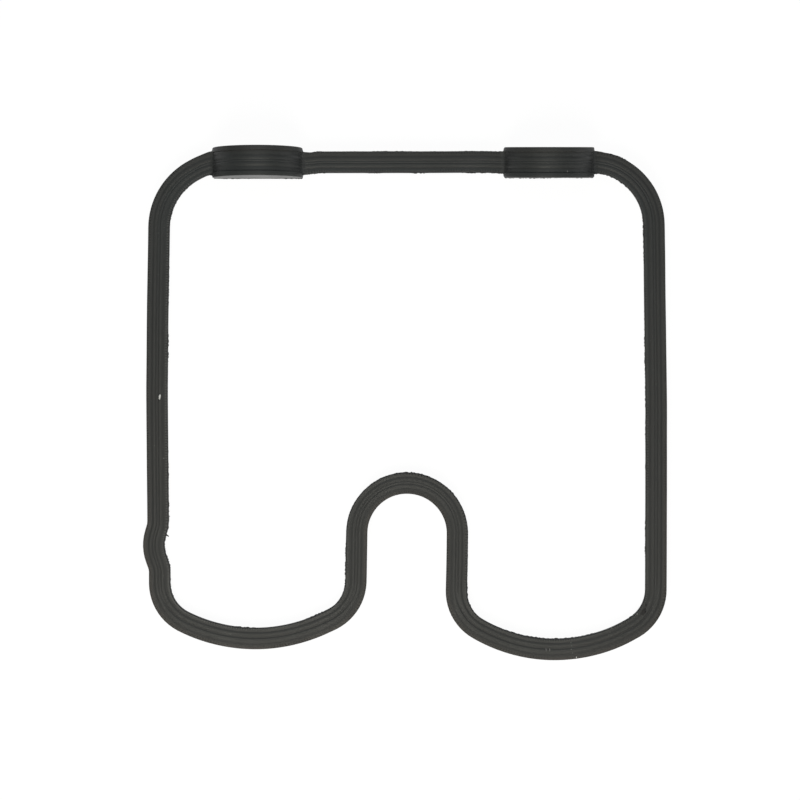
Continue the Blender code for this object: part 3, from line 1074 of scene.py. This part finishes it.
def makeFlash(f):
    roots, outs = finRun(rings, f["innerDrop"], -1, f)
    inner = flashFin("innerFlash", roots, outs, f, True, f["most"], f["innerSeed"])
    finishPiece(inner, trimmedRubber, f["sharpAngle"])
    past, last = f["topRun"]
    first = camX(outline, -1) + moonFoot(moon) + past
    roots, outs = finRun(rings, f["outerDrop"], 1, f,
                         lambda p: p.y > f["topLevel"] and first < p.x < last)
    outer = flashFin("topFlash", roots, outs, f, False, f["topMost"], f["topSeed"])
    finishPiece(outer, trimmedRubber, f["sharpAngle"])


makeFlash(flash)
print("flash trimmed")


# Small things that lie or hang on the rubber, placed by their pixel in the photograph

photo = {"size": 800, "perMillimetre": 4.0055, "centre": (-1.258, 0.932), "headFace": 5.3,
         "distance": 833.0}


def fromPhoto(px, py, up=photo["headFace"]):
    # the point at that height, in millimetres, that shows at a pixel of the photograph
    nearer = (photo["distance"] - (up - photo["headFace"])) / photo["distance"]
    half = photo["size"] / 2
    return Vector((photo["centre"][0] + (px - half) / photo["perMillimetre"] * nearer,
                   photo["centre"][1] + (half - py) / photo["perMillimetre"] * nearer, up))


strands = [
    # name, pixel of the photograph and height of each spot, radius at its root and tip
    ("tornWhisker", [(162.8, 536.6, 4.1), (164.2, 535.7, 4.3), (165.6, 535.2, 4.4),
                     (167.0, 535.2, 4.5), (168.0, 535.7, 4.4), (168.4, 536.6, 4.2)], 0.24, 0.12),
    ("flashNub", [(167.0, 516.6, 4.0), (168.6, 516.0, 4.1), (170.0, 516.3, 4.0)], 0.2, 0.08),
]
strandForm = {"sides": 8, "sharpAngle": 60}


def makeStrand(name, path, thick, thin):
    # a tapering, torn string of rubber through the spots
    spots = [fromPhoto(*spot) for spot in path]
    turns = [math.tau * step / strandForm["sides"] for step in range(strandForm["sides"])]
    rings = []
    for index, spot in enumerate(spots):
        before = spots[max(0, index - 1)]
        after = spots[min(len(spots) - 1, index + 1)]
        along = (after - before).normalized()
        side = along.cross(Vector((0, 0, 1))).normalized()
        up = side.cross(along)
        radius = thick + (thin - thick) * index / (len(spots) - 1)
        rings.append([spot + side * radius * math.cos(a) + up * radius * math.sin(a)
                      for a in turns])
    finishPiece(loft(name, rings, False), trimmedRubber, strandForm["sharpAngle"])


for strand in strands:
    makeStrand(*strand)


specks = [
    # name, pixel of the photograph, half its length and width, height, turn in degrees, finish
    ("lintLong", (159.8, 397.0), (0.62, 0.24), 0.09, 84, paleLint),
    ("dustLeft", (546.1, 649.6), (0.12, 0.46), 0.05, 4, dullLint),
    ("dustRight", (549.7, 649.8), (0.09, 0.36), 0.04, -4, dullLint),
    ("dustLow", (576.5, 657.2), (0.12, 0.18), 0.05, 20, paleLint),
    ("dustTop", (565.5, 174.2), (0.14, 0.20), 0.05, 0, dullLint),
    ("dustRow0", (571.0, 642.6), (0.09, 0.08), 0.03, 0, dullLint),
    ("dustRow1", (571.6, 645.8), (0.08, 0.08), 0.03, 30, dullLint),
    ("dustRow2", (571.2, 649.2), (0.09, 0.09), 0.03, 10, dullLint),
    ("dustRow3", (572.4, 653.0), (0.09, 0.08), 0.03, 50, dullLint),
    ("dustEdge", (637.2, 613.9), (0.26, 0.14), 0.06, 40, dullLint),
    ("dustBend", (611.7, 628.0), (0.16, 0.14), 0.05, 60, dullLint),
    ("crumbDark", (643.0, 611.2), (1.05, 0.70), 0.12, 55, trimmedRubber),
    ("crumbLow", (645.6, 605.6), (0.34, 0.20), 0.08, 70, trimmedRubber),
    ("dustLimb", (163.8, 458.3), (0.14, 0.12), 0.06, 70, dullLint),
]


speckForm = {"bumps": 0.45, "frequency": 1.7, "detail": 3, "sharpAngle": 180}


def makeSpeck(name, pixel, half, height, turn, finish, body):
    # a small crumb pressed onto the rubber below it
    spot = fromPhoto(*pixel)
    hit, where, normal, face = body.ray_cast((spot.x * mm, spot.y * mm, boxHigh.z * 2), (0, 0, -1))
    if not hit:
        print("no rubber under", name)
        return
    work = bmesh.new()
    bmesh.ops.create_icosphere(work, subdivisions=speckForm["detail"], radius=1.0)
    for vert in work.verts:
        bump = noise.noise(vert.co * speckForm["frequency"] + Vector((pixel[0], 0, 0)))
        rough = 1 + speckForm["bumps"] * bump
        spread = Vector((vert.co.x * half[0], vert.co.y * half[1], vert.co.z * height))
        vert.co = spread * rough * mm
    bmesh.ops.rotate(work, verts=work.verts, matrix=Matrix.Rotation(math.radians(turn), 3, "Z"))
    bmesh.ops.rotate(work, verts=work.verts,
                     matrix=Vector((0, 0, 1)).rotation_difference(normal).to_matrix())
    bmesh.ops.translate(work, verts=work.verts, vec=where)
    finishPiece(addMesh(name, work), finish, speckForm["sharpAngle"])


for speck in specks:
    makeSpeck(*speck, gasketBody)
print("whisker and specks placed")


# Table, light and camera

studio = {
    "tableSize": 1.6,
    "tableGap": 0.02,  # millimetres of air under the keel's foot
    "tableColour": (0.82, 0.82, 0.82),
    "glow": 0.95,  # the table's own white toward the camera; the rest is lit
    "litShare": 0.10,
    "worldColour": (0.158, 0.167, 0.177),
    "softboxes": [
        # name, place and size in metres, watts, colour
        ("keyBox", (-0.04, -0.20, 0.33), 0.24, 1.17, (1.0, 0.96, 0.87)),
        ("fillBox", (0.0, 0.40, 0.6), 0.5, 1.3, (0.96, 1.0, 1.03)),
        ("sideBox", (0.6, -0.1, 0.14), 0.22, 0.5, (1.0, 1.0, 1.0)),
    ],
}


def chooseShader(tree, share, first, second, output):
    # the second of two shaders where the share is 1, led to the output
    choose = tree.nodes.new("ShaderNodeMixShader")
    for source, socket in zip((share, first.outputs[0], second.outputs[0]), choose.inputs):
        tree.links.new(source, socket)
    tree.links.new(choose.outputs[0], tree.nodes.new(output).inputs["Surface"])


def makeTable(t):
    work = bmesh.new()
    bmesh.ops.create_grid(work, x_segments=8, y_segments=8, size=t["tableSize"] / 2)
    table = addMesh("table", work)
    table.location.z = boxLow.z - t["tableGap"] * mm
    material = bpy.data.materials.new("whiteTable")
    material.use_nodes = True
    tree = material.node_tree
    tree.nodes.clear()
    lit = addNode(tree, "ShaderNodeBsdfDiffuse", Color=(*t["tableColour"], 1.0))
    dim = addNode(tree, "ShaderNodeBsdfDiffuse",
                  Color=(*[c * t["litShare"] for c in t["tableColour"]], 1.0))
    glow = addNode(tree, "ShaderNodeEmission", Color=(1, 1, 1, 1), Strength=t["glow"])
    shown = tree.nodes.new("ShaderNodeAddShader")
    tree.links.new(dim.outputs[0], shown.inputs[0])
    tree.links.new(glow.outputs[0], shown.inputs[1])
    rays = tree.nodes.new("ShaderNodeLightPath")
    seen = combine(tree, "MAXIMUM", rays.outputs["Is Camera Ray"], rays.outputs["Is Glossy Ray"])
    seen = combine(tree, "MAXIMUM", seen, rays.outputs["Is Transmission Ray"])
    chooseShader(tree, seen, lit, shown, "ShaderNodeOutputMaterial")
    table.data.materials.append(material)


def makeWorld(t):
    world = bpy.data.worlds.new("studioWorld")
    bpy.context.scene.world = world
    world.use_nodes = True
    tree = world.node_tree
    tree.nodes.clear()
    soft = addNode(tree, "ShaderNodeBackground", Color=(*t["worldColour"], 1.0))
    white = addNode(tree, "ShaderNodeBackground", Color=(1, 1, 1, 1))
    rays = tree.nodes.new("ShaderNodeLightPath")
    chooseShader(tree, rays.outputs["Is Camera Ray"], soft, white, "ShaderNodeOutputWorld")


def makeSoftboxes(t):
    for name, place, size, watts, colour in t["softboxes"]:
        data = bpy.data.lights.new(name, "AREA")
        data.shape = "SQUARE"
        data.size = size
        data.energy = watts
        data.color = colour
        lamp = addObject(name, data)
        lamp.location = place
        lamp.rotation_euler = Vector(place).to_track_quat("Z", "Y").to_euler()


def makeCamera(view):
    data = bpy.data.cameras.new("photoCamera")
    half = view["size"] / 2 / view["perMillimetre"]
    data.angle = 2 * math.atan(half / view["distance"])
    data.clip_end = 20.0
    camera = addObject("photoCamera", data)
    camera.location = Vector((*view["centre"], view["distance"] + view["headFace"])) * mm
    bpy.context.scene.camera = camera


makeTable(studio)
makeWorld(studio)
makeSoftboxes(studio)
makeCamera(photo)
bpy.context.scene.view_settings.view_transform = "Standard"
print("table, light and camera set")

bpy.context.view_layer.update()
